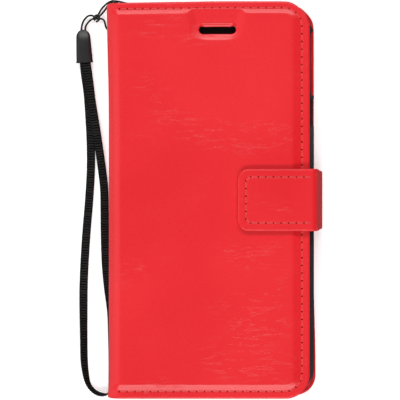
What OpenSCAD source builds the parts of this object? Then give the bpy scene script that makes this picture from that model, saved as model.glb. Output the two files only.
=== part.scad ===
// Book-style wallet case for a phone: a leather cover folded round a moulded
// shell, closed by a magnetic strap tab, with a wrist lanyard at its top corner.
// The case lies on its back. +Z points out of the front cover, +Y is the phone's
// top end and +X is the side that opens. The origin is the middle of the back.

/* [Cover] */
// Height of the cover, along Y
cover_h = 160; // [140:1:175]
// Width from the spine's outside to the free edge of the back cover
case_w = 83.5; // [78:0.5:90]
// How far the back cover reaches past the front cover's free edge
back_reach = 1.5; // [0.5:0.1:3]
// Radius of the two rounded corners on the free side
corner_r = 9.8; // [6:0.2:12]
// Thickness of the outer leather
skin_t = 0.9; // [0.6:0.1:1.2]
// Thickness of the spine's outer leather and of its lining, together
spine_t = 1.6; // [1.2:0.1:2]

/* [Layers] */
// Height of the front cover's outer face at its sewn margin
margin_z = 16.4; // [16:0.1:18]
// How far the padded panel stands above the margin
panel_rise = 0.8; // [0.4:0.1:1.2]
// Width of the sewn margin at the top, bottom and free edge
margin_w = 4.9; // [4:0.1:6]
// Distance of the seam from the cover's edge
seam_inset = 3.1; // [2.5:0.1:3.6]
// Thickness of one card pocket
pocket_t = 0.35; // [0.25:0.05:0.4]

/* [Shell] */
// Width of the phone that the shell holds
phone_w = 75.4; // [68:0.2:76]
// Height of the phone that the shell holds
phone_h = 152.4; // [140:0.2:154]
// Thickness of the phone that the shell holds
phone_t = 8.1; // [7:0.1:8.1]
// Thickness of the shell's side walls
wall = 1.4; // [1.2:0.1:1.6]
// Outer radius of the shell's corners
shell_r = 9; // [7:0.5:10]

/* [Earpiece slot] */
// Length of the slot, along X
slot_l = 15; // [10:0.5:18]
// Width of the slot, along Y
slot_w = 3.6; // [2:0.1:4]
// Distance of the slot's middle from the cover's top edge
slot_drop = 11.1; // [9:0.1:14]

/* [Strap] */
// Width of the strap, along Y
strap_w = 25.2; // [20:0.2:30]
// Length of the tab that lies on the front cover, from the fold
tab_l = 34.1; // [28:0.1:40]
// Radius of the tab's corners
tab_r = 4.4; // [2:0.2:8]
// How far the strap stands outside the back cover's free edge
strap_out = 2.9; // [2.4:0.1:4]
// Thickness of the tab's outer leather, round the magnet
tab_skin_t = 1.3; // [1.1:0.1:1.6]
// Radius of the magnet
magnet_r = 7.5; // [5:0.5:9]

/* [Lanyard] */
// Diameter of the thin cord
cord_d = 0.8; // [0.6:0.1:1]
// Width of the webbing
web_w = 3.8; // [3:0.2:5]
// Thickness of the webbing
web_t = 0.9; // [0.6:0.1:1.2]
// Length of the ferrule
ferrule_l = 13.6; // [10:0.2:16]
// Height of the ferrule off the table
ferrule_h = 3.6; // [3.2:0.1:4]

/* [Hidden] */

red = [0.85, 0.12, 0.14];
dark_red = [0.6, 0.08, 0.1];
thread_red = [0.95, 0.35, 0.36];
black = [0.06, 0.06, 0.065];
eps = 0.05;
$fn = 48;

// Places along X and Y
x_left = -(case_w + strap_out) / 2;
x_back = x_left + case_w;
x_front = x_back - back_reach;
x_fold = x_back + strap_out;
y_top = cover_h / 2;
slot_x = 1;
camera_x = 21;
camera_y = y_top - 14;
slot_y = y_top - slot_drop;

// Heights of the layers
board_t = 1.1;
lining_t = 0.4;
z_board = skin_t;
z_lining = z_board + board_t;
z_glue = z_lining + lining_t;
z_shell = z_glue + 0.2;
floor_t = 1.2;
z_seat = z_shell + floor_t;
z_rim = z_seat + phone_t + 0.3;
front_skin_t = 1;
z_front_skin = margin_z - front_skin_t;
z_front_board = z_front_skin - 1.2;
z_front_lining = z_front_board - 0.3;
cash_t = 0.45;
z_cash = z_front_lining - cash_t;
z_panel = margin_z + panel_rise;

// The spine is half an octagon of three strips between four folds
strip_l = margin_z * (sqrt(2) - 1);
strip_x = strip_l / sqrt(2);
x_hinge = x_left + strip_x;
// How far an end is cut back for each millimetre of depth, at a 45 degree fold
mitre = tan(22.5);
spine_skin = spine_t - 0.6;
window_from = 1.3;
window_y0 = y_top - 14.5;
window_y1 = y_top - 5.5;

// Strap heights: the tab lies just clear of the padded panel
tab_lining_t = 0.6;
z_tab = z_panel + 0.1;
z_tab_skin = z_tab + tab_lining_t;
z_top = z_tab_skin + tab_skin_t;
side_skin_t = 1.1;
magnet_t = 0.8;
keeper_t = 0.5;
tab_x = x_fold - tab_l;
magnet_x = tab_x + 13;
root_x = 22;

// Seams: a sunk or raised line of thread
thread_w = 0.7;
thread_t = 0.25;

// Points on an arc
function arc(x, y, r, from, to, n = 14) =
    [for (i = [0:n]) let (a = from + (to - from) * i / n) [x + r * cos(a), y + r * sin(a)]];

// A cover's outline: square at the spine, rounded on the free side
function cover_outline(left, right, top, r) = concat(
    [[left, top], [left, -top]],
    arc(right - r, -top + r, r, -90, 0),
    arc(right - r, top - r, r, 0, 90));

// A rectangle with four round corners
function round_box(x0, x1, y0, y1, r) = concat(
    arc(x1 - r, y0 + r, r, -90, 0), arc(x1 - r, y1 - r, r, 0, 90),
    arc(x0 + r, y1 - r, r, 90, 180), arc(x0 + r, y0 + r, r, 180, 270));

// An open line with a width: a seam that runs round the free side of a cover
function seam_outline(left, right, top, r, w) = concat(
    [[left, top + w / 2], [left, top - w / 2]],
    arc(right - r, top - r, r - w / 2, 90, 0),
    arc(right - r, -top + r, r - w / 2, 0, -90),
    [[left, -top + w / 2], [left, -top - w / 2]],
    arc(right - r, -top + r, r + w / 2, -90, 0),
    arc(right - r, top - r, r + w / 2, 0, 90));

module slab(z, t, outline) {
    translate([0, 0, z]) linear_extrude(t) polygon(outline);
}

// A profile drawn in X and Z, run along Y about the middle
module along_y(length, profile) {
    rotate([90, 0, 0]) linear_extrude(length, center = true) polygon(profile);
}

module camera_window(z, t) {
    slab(z, t, round_box(camera_x - 13, camera_x + 13, camera_y - 5.5, camera_y + 5.5, 5.49));
}

module earpiece_slot(z, t, grow = 0) {
    l = slot_l / 2 + grow;
    w = slot_w / 2 + grow;
    slab(z, t, round_box(slot_x - l, slot_x + l, slot_y - w, slot_y + w, w - 0.01));
}

// ---- Back cover ----

module back_layer(z, t, inset, left) {
    difference() {
        slab(z, t, cover_outline(left, x_back - inset, y_top - inset, corner_r - inset));
        camera_window(z - 1, t + 2);
    }
}

module back_skin() {
    color(red) difference() {
        back_layer(0, skin_t, 0, x_hinge + skin_t * mitre + eps);
        slab(-1, 1 + thread_t, back_seam());
    }
}

function back_seam() = seam_outline(x_hinge + 1, x_back - seam_inset, y_top - seam_inset,
    corner_r - seam_inset, thread_w);

module back_stitching() {
    color(thread_red) slab(0, thread_t, back_seam());
}

module back_board() {
    color("dimgray") difference() {
        back_layer(z_board, board_t, 0.6, x_hinge + spine_t);
        translate([root_x, -strap_w / 2, z_board - 1]) cube([40, strap_w, board_t + 2]);
    }
}

module back_lining() {
    color(dark_red) back_layer(z_lining, lining_t, 0.2, x_hinge + spine_t + 0.6);
}

module shell_adhesive() {
    color("gainsboro") slab(z_glue, z_shell - z_glue, round_box(-30, 32, -68, 52, 4));
}

// The strap's sewn end, which lies in a gap in the board and comes out at the side
module strap_root() {
    color(red) along_y(strap_w, [
        [root_x, z_board], [x_fold - eps, z_board],
        [x_fold - side_skin_t - eps, z_lining], [root_x, z_lining]]);
}

// ---- Phone shell ----

shell_x0 = x_back - phone_w - 2 * wall;
shell_y = phone_h / 2 + wall;
hole_z = z_seat + 2.8;
plug_z = z_seat + 4;
port_x = 1;
port_l = 28;
volume_y = 44;
volume_l = 23.5;
power_y = 30;
power_l = 11;

module phone_shell() {
    color(black) difference() {
        slab(z_shell, z_rim - z_shell, round_box(shell_x0, x_back, -shell_y, shell_y, shell_r));
        slab(z_seat, 20, round_box(shell_x0 + wall + 0.6, x_back - wall - 0.6,
            -shell_y + wall + 0.6, shell_y - wall - 0.6, shell_r - wall));
        slab(z_seat, z_rim - 1 - z_seat, round_box(shell_x0 + wall, x_back - wall,
            -shell_y + wall, shell_y - wall, shell_r - wall));
        camera_window(z_shell - 1, 5);
        key_cutouts();
        end_cutouts();
        lanyard_holes();
    }
}

// Volume keys: open from the rim right down. Power key: a notch in the rim
module key_cutouts() {
    inside = x_back - wall - 1;
    translate([x_back - 1, volume_y - 1.5, 0]) cube([3, volume_l + 3, 30]);
    translate([inside, volume_y, z_seat]) cube([4, volume_l, 20]);
    translate([inside, power_y, z_seat + 2.2]) cube([4, power_l, 20]);
}

// A round hole through an end wall, which is one end of the shell or the other
module end_hole(x, y, r) {
    translate([x, y + 2, plug_z]) rotate([90, 0, 0]) cylinder(h = 4, r = r);
}

// Charging port and speakers, a headphone hole and a microphone hole
module end_cutouts() {
    middle = shell_y - wall / 2;
    translate([port_x - port_l / 2, -shell_y - 1, plug_z - 2.8])
        cube([port_l, wall + 2, 5.4]);
    end_hole(port_x + 26, -middle, 3);
    end_hole(port_x + 8, middle, 0.8);
}

// Two holes joined by a groove inside the corner, for the lanyard's cord
module lanyard_holes() {
    corner_x = shell_x0 + shell_r;
    corner_y = shell_y - shell_r;
    translate([corner_x, corner_y, hole_z - 0.75]) rotate([0, 0, 92])
        rotate_extrude(angle = 88) translate([shell_r - wall - 1, 0]) square([1.7, 1.5]);
    translate([corner_x - 1.1, shell_y + 1, hole_z]) rotate([90, 0, 0]) cylinder(h = 3.6, r = 1);
    translate([shell_x0 - 1, corner_y - 0.2, hole_z]) rotate([0, 90, 0]) cylinder(h = 3.6, r = 1);
}

// ---- Spine ----

// A layer of a strip, from one depth to another. It starts at a fold and runs off at an angle
module spine_strip(x, z, rise, depth0, depth1) {
    translate([x, 0, z]) rotate([0, rise - 180, 0]) mirror([0, 0, 1]) along_y(cover_h - 0.2, [
        [depth0 * mitre + eps, depth0], [strip_l - depth0 * mitre - eps, depth0],
        [strip_l - depth1 * mitre - eps, depth1], [depth1 * mitre + eps, depth1]]);
}

// The lanyard's cord passes through a window in the strip nearest the back
module spine_lower(depth0, depth1) {
    difference() {
        spine_strip(x_hinge, 0, 45, depth0, depth1);
        translate([x_hinge, 0, 0]) rotate([0, -135, 0]) mirror([0, 0, 1])
            slab(-2, 6, round_box(window_from, strip_l - 0.9, window_y0, window_y1, 2));
    }
}

module spine_middle(depth0, depth1) {
    spine_strip(x_left, strip_x, 90, depth0, depth1);
}

module spine_upper(depth0, depth1) {
    spine_strip(x_left, margin_z - strip_x, 135, depth0, depth1);
}

module spine_skin_lower() { color(red) spine_lower(0, spine_skin); }
module spine_lining_lower() { color(dark_red) spine_lower(spine_skin, spine_t); }
module spine_skin_middle() { color(red) spine_middle(0, spine_skin); }
module spine_lining_middle() { color(dark_red) spine_middle(spine_skin, spine_t); }
module spine_skin_upper() { color(red) spine_upper(0, spine_skin); }
module spine_lining_upper() { color(dark_red) spine_upper(spine_skin, spine_t); }

// ---- Front cover ----

// The padded panel leaves a recess round the earpiece slot, open towards the top edge
function panel_outline(grow) = let (
    right = x_front - margin_w + grow, top = y_top - margin_w + grow,
    left = x_hinge + spine_t - grow, r = corner_r - margin_w + grow,
    middle = slot_x - 0.3, wide = 10.2 - grow, narrow = 9 - grow, low = slot_y - 4.4 + grow)
    concat([[left, top], [left, -top]], arc(right - r, -top + r, r, -90, 0),
        arc(right - r, top - r, r, 0, 90),
        [[middle + wide, top], [middle + narrow, low], [middle - narrow, low],
        [middle - wide, top]]);

module front_layer(z, t, inset, left) {
    difference() {
        slab(z, t, cover_outline(left, x_front - inset, y_top - inset, corner_r - inset));
        earpiece_slot(z - 1, t + 2);
    }
}

module front_skin() {
    color(red) union() {
        difference() {
            front_layer(z_front_skin, front_skin_t, 0, x_hinge + front_skin_t * mitre + eps);
            slab(z_front_skin - 1, front_skin_t + 2, panel_outline(-1));
        }
        slab(z_panel - front_skin_t, front_skin_t - 0.3, panel_outline(0));
        slab(z_panel - 0.3 - eps, 0.3 + eps, panel_outline(-0.3));
    }
}

module front_padding() {
    color("whitesmoke")
        slab(z_front_skin, z_panel - front_skin_t - z_front_skin, panel_outline(-1));
}

module front_board() {
    color("dimgray") difference() {
        front_layer(z_front_board, z_front_skin - z_front_board, 0.6, x_hinge + 2.6);
        translate([magnet_x, 0, z_front_skin - keeper_t])
            cylinder(h = 2, r = magnet_r + 1);
    }
}

module keeper_plate() {
    color("silver") translate([magnet_x, 0, z_front_skin - keeper_t])
        cylinder(h = keeper_t, r = magnet_r + 1);
}

module front_lining() {
    color(dark_red)
        front_layer(z_front_lining, z_front_board - z_front_lining, 0.2, x_hinge + 3.2);
}

module front_stitching() {
    color(thread_red) slab(margin_z, thread_t,
        seam_outline(x_hinge + 0.5, x_front - seam_inset, y_top - seam_inset,
            corner_r - seam_inset, thread_w));
}

module cash_pocket() {
    color(red) slab(z_cash, cash_t, round_box(-34, 35.5, -76, 56, 4));
}

// Three card pockets, one over the other, each opening lower than the one behind it
module card_pocket(n) {
    color(red) slab(z_cash - n * pocket_t, pocket_t,
        round_box(-31, 32.5, -34, 48 - 14 * n, 2));
}

module card_pocket_1() { card_pocket(1); }
module card_pocket_2() { card_pocket(2); }
module card_pocket_3() { card_pocket(3); }

// The seam that holds the pockets' foot and sides to the lining
module pocket_stitching() {
    seam = thread_w / 2;
    color(thread_red) difference() {
        slab(z_cash - thread_t, thread_t, round_box(-32.5, 34, -74.5, 50, 3));
        slab(z_cash - 1, 2, round_box(-32.5 + seam, 34 - seam, -74.5 + seam, 60, 2.6));
    }
}

// ---- Strap ----

function tab_outline(inset) = let (
    x0 = tab_x + inset, w = strap_w / 2 - inset, r = tab_r - inset)
    concat([[x_fold + 1, -w], [x_fold + 1, w]],
        arc(x0 + r, w - r, r, 90, 180), arc(x0 + r, -w + r, r, 180, 270));

module strap_side_skin() {
    color(red) along_y(strap_w, [
        [x_fold, z_board + eps], [x_fold, z_top - eps],
        [x_fold - side_skin_t, z_tab_skin - eps], [x_fold - side_skin_t, z_lining + eps]]);
}

module strap_side_lining() {
    inner = x_fold - side_skin_t;
    color(dark_red) along_y(strap_w - 0.6, [
        [inner, z_lining + eps], [inner, z_tab_skin - eps],
        [inner - tab_lining_t, z_tab - eps], [inner - tab_lining_t, z_lining + 0.6]]);
}

module strap_tab_skin() {
    color(red) difference() {
        intersection() {
            slab(0, 40, tab_outline(0));
            along_y(60, [
                [x_fold - eps, z_top], [0, z_top],
                [0, z_tab_skin], [x_fold - side_skin_t - eps, z_tab_skin]]);
        }
        translate([magnet_x, 0, z_tab_skin - 1]) cylinder(h = 1 + magnet_t, r = magnet_r);
    }
}

module strap_tab_lining() {
    inner = x_fold - side_skin_t;
    color(dark_red) intersection() {
        slab(0, 40, tab_outline(0.3));
        along_y(60, [
            [inner - eps, z_tab_skin], [0, z_tab_skin],
            [0, z_tab], [inner - tab_lining_t - eps, z_tab]]);
    }
}

module strap_magnet() {
    color("silver") translate([magnet_x, 0, z_tab_skin]) cylinder(h = magnet_t, r = magnet_r);
}

module strap_tab_stitching() {
    x1 = x_fold - 4.4;
    color(thread_red) intersection() {
        difference() {
            slab(z_top, thread_t, tab_outline(3));
            slab(z_top - 1, 3, tab_outline(3 + thread_w));
        }
        translate([-50, -50, 0]) cube([50 + x1, 100, 60]);
    }
}

// ---- Lanyard ----

// Middle line of the thin cord: out of the ferrule, through the hitch, round the top
// end, through the shell's corner, out through the spine and back to the ferrule
cord_route = [
    [-53.2, 67.0, 1.8], [-53.4, 70.6, 1.8], [-52.9, 72.4, 1.6], [-51.6, 74.0, 1.3],
    [-50.1, 75.0, 1.0], [-48.6, 75.6, 0.9], [-47.9, 76.9, 0.9], [-46.9, 78.7, 1.1],
    [-45.4, 80.5, 1.6], [-43.6, 82.0, 2.4], [-41.7, 82.5, 3.4], [-39.4, 82.1, 4.4],
    [-36.8, 81.2, 5.4], [-34.2, 80.4, 6.2], [-32.0, 79.6, 6.6], [-30.4, 78.5, 6.6],
    [-30.0, 77.2, 6.6], [-30.6, 76.1, 6.6], [-31.9, 75.6, 6.6], [-33.4, 74.8, 6.6],
    [-34.8, 73.4, 6.6], [-35.8, 71.9, 6.6], [-36.3, 70.2, 6.6], [-36.8, 68.9, 6.6],
    [-37.9, 68.3, 6.4], [-39.2, 68.6, 5.7], [-40.6, 69.3, 4.5], [-42.0, 70.1, 3.0],
    [-43.4, 71.1, 1.8], [-44.5, 72.4, 1.2], [-45.4, 73.7, 0.9], [-46.6, 74.5, 0.8],
    [-47.9, 74.5, 1.4], [-49.2, 74.7, 2.0], [-50.6, 76.2, 1.6], [-52.6, 75.8, 1.2],
    [-54.2, 73.9, 1.4], [-54.8, 72.0, 1.6], [-55.0, 70.4, 1.8], [-54.7, 67.0, 1.8]
];

// Middle line of the webbing: down its lower branch, round the bottom and back up
web_route = [
    [-54.0, 61.0, 1.3], [-53.8, 57.0, 1.2], [-53.3, 52.0, 0.7], [-52.4, 44.0, 0.6],
    [-51.4, 33.0, 0.6], [-50.9, 22.0, 0.6], [-51.1, 12.0, 0.6], [-51.8, 0.0, 0.6],
    [-52.9, -12.0, 0.6], [-53.7, -24.0, 0.6], [-54.2, -36.0, 0.6], [-54.1, -48.0, 0.6],
    [-53.9, -60.0, 0.6], [-53.6, -69.0, 0.8], [-52.9, -73.6, 1.3], [-51.6, -76.9, 1.8],
    [-49.8, -79.1, 2.0], [-47.7, -80.5, 2.0], [-45.6, -80.8, 1.9], [-44.0, -79.9, 1.4],
    [-43.0, -77.8, 0.8], [-42.4, -74.6, 0.7], [-42.3, -66.0, 0.6], [-42.3, -56.0, 0.6],
    [-42.7, -46.0, 0.6], [-43.5, -36.0, 0.6], [-44.3, -26.0, 0.6], [-44.8, -14.0, 0.6],
    [-45.1, -4.0, 0.6], [-45.8, 5.0, 0.7], [-46.8, 13.0, 1.1], [-48.3, 21.0, 1.6],
    [-50.0, 31.0, 1.7], [-51.2, 40.0, 1.7], [-52.3, 49.0, 1.8], [-53.2, 57.0, 2.3],
    [-53.5, 61.0, 2.4]
];

// How far the webbing is turned off flat: it stands up to go round the bottom
function web_turn(y) = y > -66 ? 0 : y > -79 ? 68 * (-66 - y) / 13 : 68;
function web_side(p) = p[0] > -44.5 && p[1] < -60
    ? (p[1] < -79.5 ? 30 : p[1] < -77 ? 10 : 0)
    : web_turn(p[1]);

function unit(v) = v / norm(v);

// Direction of a route at each of its points
function heading(route, i) =
    unit(route[min(i + 1, len(route) - 1)] - route[max(i - 1, 0)]);

// Eight points round a route's point: a flattened ring of two half widths
function ring(p, along, wide, thick, turn) = let (
    flat = unit(cross(along, [0, 0, 1])), up = cross(flat, along),
    u = flat * cos(turn) + up * sin(turn), v = -flat * sin(turn) + up * cos(turn))
    [for (a = [22.5:45:359]) p + u * wide * cos(a) / cos(22.5) + v * thick * sin(a) / cos(22.5)];

module tube(rings) {
    n = len(rings);
    k = len(rings[0]);
    polyhedron(
        points = [for (r = rings) each r],
        faces = concat(
            [[for (j = [0:k - 1]) j]],
            [for (i = [0:n - 2], j = [0:k - 1])
                [i * k + j, (i + 1) * k + j, (i + 1) * k + (j + 1) % k, i * k + (j + 1) % k]],
            [[for (j = [k - 1:-1:0]) (n - 1) * k + j]]));
}

module lanyard_cord() {
    color(black) tube([for (i = [0:len(cord_route) - 1])
        ring(cord_route[i], heading(cord_route, i), cord_d / 2, cord_d / 2, 0)]);
}

module lanyard_webbing() {
    color(black) tube([for (i = [0:len(web_route) - 1])
        ring(web_route[i], heading(web_route, i), web_w / 2, web_t / 2,
            web_side(web_route[i]))]);
}

// A tapered sleeve with a round top, hollow for the webbing's ends and the cord
ferrule_at = [-53.6, 57];
module lanyard_ferrule() {
    wide = 3.4;
    narrow = 2.7;
    shoulder = ferrule_l - narrow;
    color([0.16, 0.16, 0.17]) translate([ferrule_at[0], ferrule_at[1], 0]) rotate([0, 0, 3.2])
        difference() {
            slab(0, ferrule_h, concat([[-wide, 0], [wide, 0], [wide, 0.8], [wide - 0.2, 1]],
                arc(0, shoulder, narrow, 0, 180), [[-wide + 0.2, 1], [-wide, 0.8]]));
            translate([-2.4, -1, 0.45]) cube([4.8, 6.5, 2.7]);
            translate([-1.5, 4, 1.1]) cube([3, 12, 1.4]);
        }
}

// ---- Assembly ----

back_skin();
back_board();
back_lining();
back_stitching();
shell_adhesive();
phone_shell();
strap_root();
spine_skin_lower();
spine_lining_lower();
spine_skin_middle();
spine_lining_middle();
spine_skin_upper();
spine_lining_upper();
front_skin();
front_padding();
front_board();
front_lining();
keeper_plate();
front_stitching();
cash_pocket();
card_pocket_1();
card_pocket_2();
card_pocket_3();
pocket_stitching();
strap_side_skin();
strap_side_lining();
strap_tab_skin();
strap_tab_lining();
strap_magnet();
strap_tab_stitching();
lanyard_cord();
lanyard_ferrule();
lanyard_webbing();
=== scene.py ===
"""Looks for a book-style phone wallet case of red coated leather, with a magnetic strap
tab and a black wrist lanyard. Lengths are in millimetres, and become metres where a mesh
or curve is made. +Z points out of the front cover and +Y is the phone's top end."""

from math import ceil, copysign, cos, hypot, pi, radians, sin

import bmesh
import bpy
from mathutils import Matrix, Vector, noise


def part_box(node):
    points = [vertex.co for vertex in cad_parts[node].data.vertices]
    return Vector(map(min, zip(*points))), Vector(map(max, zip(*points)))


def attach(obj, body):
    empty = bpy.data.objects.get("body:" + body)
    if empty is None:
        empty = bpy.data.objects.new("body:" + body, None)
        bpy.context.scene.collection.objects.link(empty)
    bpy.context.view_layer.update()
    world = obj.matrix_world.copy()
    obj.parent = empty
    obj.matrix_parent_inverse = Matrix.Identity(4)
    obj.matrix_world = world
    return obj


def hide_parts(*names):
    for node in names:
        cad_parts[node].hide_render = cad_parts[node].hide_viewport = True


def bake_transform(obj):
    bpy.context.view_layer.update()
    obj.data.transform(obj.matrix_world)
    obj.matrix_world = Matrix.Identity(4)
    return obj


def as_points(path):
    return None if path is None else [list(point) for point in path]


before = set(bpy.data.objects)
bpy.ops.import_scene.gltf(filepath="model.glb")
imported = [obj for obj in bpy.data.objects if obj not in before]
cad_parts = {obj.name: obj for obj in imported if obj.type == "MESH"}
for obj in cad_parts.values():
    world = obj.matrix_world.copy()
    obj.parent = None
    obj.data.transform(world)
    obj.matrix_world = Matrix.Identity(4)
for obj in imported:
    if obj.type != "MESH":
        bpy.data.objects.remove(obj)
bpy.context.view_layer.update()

MM = 0.001


def node_box(node):
    """Lowest and highest corner of a CAD node, in millimetres."""
    low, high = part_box(node)
    return [c / MM for c in low], [c / MM for c in high]


# ---- Sizes from the frame ----

spine_low = node_box("spine_skin_middle")[0]
front_high = node_box("front_skin")[1]
back_high = node_box("back_skin")[1]
tab_low, tab_high = node_box("strap_tab_skin")
side_low, side_high = node_box("strap_side_skin")

x_left = spine_low[0]
x_front = front_high[0] - 0.4
x_back = back_high[0] + 0.6
y_top = front_high[1] + 0.45
z_panel = front_high[2]
panel_rise = 0.8
panel_slope_w = 2.45
margin_z = z_panel - panel_rise
x_fold = side_high[0] + 1.15
z_tab_top = tab_high[2]
z_strap_foot = side_low[2]
strap_half = side_high[1]

# ---- Sizes of the cover's soft shapes ----

corner_r = 9.8
back_corner_r = 8.2
seam_inset = 2.6
seam_side_shift = 0.6
seam_low_shift = 0.4
cover_t = 2.4
leather_t = 0.62
spine_r = 5.2
spine_low_r = 8.2
edge_r = 0.75
join_x = -34.6
top_slant = 0.7
stitch_pitch = 3.13
thread_r = 0.2
thread_rise = 0.16
slot_at = (1.0, y_top - 11.45)
slot_half = (7.5, 1.85)
window_at = (21.0, y_top - 14.4)
window_half = (13.0, 5.5)


def smoothstep(a, b, x):
    t = max(0.0, min(1.0, (x - a) / (b - a)))
    return t * t * (3 - 2 * t)


def spread(a, b, step):
    """Evenly spaced values from a to b, about step apart, both ends among them."""
    n = max(1, ceil(abs(b - a) / step - 1e-6))
    return [a + (b - a) * i / n for i in range(n + 1)]


def chain(*stretches):
    """Stretches of values joined into one list, each from where the last ended."""
    values = []
    for a, b, step in stretches:
        values += spread(a, b, step)[1 if values else 0:]
    return values


# ---- Camera, lights and floor ----

def linked(name, data):
    """An object of that data, in the scene."""
    obj = bpy.data.objects.new(name, data)
    bpy.context.collection.objects.link(obj)
    return obj


def make_camera():
    data = bpy.data.cameras.new("camera")
    data.sensor_width = 36
    data.lens = 36 * 700 / 161.6
    data.clip_start = 0.02
    data.clip_end = 20
    camera = linked("camera", data)
    camera.location = (-6.06 * MM, 0, 0.717)
    bpy.context.scene.camera = camera


def softbox(name, at, size, watts):
    """A rectangular lamp that looks at the origin."""
    data = bpy.data.lights.new(name, "AREA")
    data.shape = "RECTANGLE"
    data.size, data.size_y = size
    data.energy = watts
    lamp = linked(name, data)
    lamp.location = at
    lamp.rotation_euler = (-lamp.location).to_track_quat("-Z", "Y").to_euler()


def make_studio():
    softbox("softbox_top_end", (0, 0.62, 0.62), (0.9, 0.24), 4.85)
    softbox("softbox_bottom_end", (0, -0.62, 0.62), (0.9, 0.24), 5.05)
    softbox("softbox_left", (-0.7, 0, 0.5), (0.3, 0.9), 0.9)
    world = bpy.data.worlds.new("studio")
    world.use_nodes = True
    tree = world.node_tree
    place = tree.nodes.new("ShaderNodeTexCoord")
    axes = tree.nodes.new("ShaderNodeSeparateXYZ")
    level = tree.nodes.new("ShaderNodeMapRange")
    shade = tree.nodes.new("ShaderNodeValToRGB")
    tree.links.new(place.outputs["Generated"], axes.inputs["Vector"])
    tree.links.new(axes.outputs["X"], level.inputs["Value"])
    level.inputs["From Min"].default_value = -1
    tree.links.new(level.outputs["Result"], shade.inputs["Fac"])
    stops = shade.color_ramp.elements
    stops.new(0.7)
    for stop, (position, grey) in zip(stops, ((0.0, 1.0), (0.54, 1.0), (0.68, 0.1))):
        stop.position = position
        stop.color = (grey, grey, grey, 1)
    background = tree.nodes["Background"]
    tree.links.new(shade.outputs["Color"], background.inputs["Color"])
    background.inputs["Strength"].default_value = 0.36
    bpy.context.scene.world = world
    bpy.context.scene.view_settings.view_transform = "Standard"


def make_floor():
    half, z = 3.0, -0.0002
    corners = [(-half, -half, z), (half, -half, z), (half, half, z), (-half, half, z)]
    mesh = bpy.data.meshes.new("floor")
    mesh.from_pydata(corners, [], [(0, 1, 2, 3)])
    floor = linked("floor", mesh)
    s = Shader("floor", (0.9, 0.9, 0.9), 0.9, specular=0.1)
    s.surface.inputs["Emission Color"].default_value = (1, 1, 1, 1)
    s.surface.inputs["Emission Strength"].default_value = 0.42
    mesh.materials.append(s.material)
    floor.visible_glossy = False


# ---- Materials ----

class Shader:
    """A node material round one Principled shader, fed by object coordinates."""

    def __init__(self, name, color, roughness, specular=0.5):
        self.material = bpy.data.materials.new(name)
        self.material.use_nodes = True
        self.tree = self.material.node_tree
        self.surface = self.tree.nodes["Principled BSDF"]
        self.surface.inputs["Base Color"].default_value = (*color, 1)
        self.surface.inputs["Roughness"].default_value = roughness
        self.surface.inputs["Specular IOR Level"].default_value = specular
        self.place = self.tree.nodes.new("ShaderNodeTexCoord").outputs["Object"]
        self.normal = None

    def add(self, kind, **inputs):
        node = self.tree.nodes.new(kind)
        for name, value in inputs.items():
            self.feed(node.inputs[name.replace("_", " ")], value)
        return node

    def feed(self, socket, value):
        if isinstance(value, bpy.types.NodeSocket):
            self.tree.links.new(value, socket)
        else:
            socket.default_value = value

    def scaled(self, x, across=None, turn=0.0):
        """Object coordinates, scaled by cycles per metre along X and across it."""
        across = x if across is None else across
        mapping = self.add("ShaderNodeMapping", Vector=self.place)
        mapping.inputs["Rotation"].default_value = (0, 0, turn)
        mapping.inputs["Scale"].default_value = (x, across, across)
        return mapping.outputs["Vector"]

    def noise(self, x, across=None, turn=0.0, detail=3.0, rough=0.5, distortion=0.0):
        """Cloudy noise, its scale given as for scaled."""
        node = self.add("ShaderNodeTexNoise", Vector=self.scaled(x, across, turn),
                        Scale=1.0, Detail=detail, Roughness=rough, Distortion=distortion)
        return node.outputs["Fac"]

    def cells(self, count):
        """Distance to the nearest of scattered points, that many to the metre."""
        node = self.add("ShaderNodeTexVoronoi", Vector=self.scaled(count), Scale=1.0)
        return node.outputs["Distance"]

    def ramp(self, value, *stops):
        """value through a ramp of (position, grey or colour) stops."""
        node = self.add("ShaderNodeValToRGB", Fac=value)
        elements = node.color_ramp.elements
        while len(elements) < len(stops):
            elements.new(0.5)
        for element, (position, shade) in zip(elements, stops):
            element.position = position
            element.color = (*shade, 1) if isinstance(shade, tuple) else (shade,) * 3 + (1,)
        return node.outputs["Color"]

    def times(self, a, b):
        node = self.tree.nodes.new("ShaderNodeMath")
        node.operation = "MULTIPLY"
        self.feed(node.inputs[0], a)
        self.feed(node.inputs[1], b)
        return node.outputs["Value"]

    def mix(self, share, a, b):
        node = self.tree.nodes.new("ShaderNodeMix")
        node.data_type = "RGBA"
        for socket, value in ((0, share), (6, a), (7, b)):
            if isinstance(value, tuple):
                value = (*value, 1)
            self.feed(node.inputs[socket], value)
        return node.outputs[2]

    def bump(self, height, distance, strength=1.0):
        """Adds relief of that height in millimetres to the surface."""
        node = self.add("ShaderNodeBump", Height=height, Strength=strength,
                        Distance=distance * MM)
        if self.normal is not None:
            self.tree.links.new(self.normal, node.inputs["Normal"])
        self.normal = node.outputs["Normal"]
        self.tree.links.new(self.normal, self.surface.inputs["Normal"])

    def color(self, value):
        self.tree.links.new(value, self.surface.inputs["Base Color"])

    def roughness(self, value):
        self.tree.links.new(value, self.surface.inputs["Roughness"])


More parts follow.
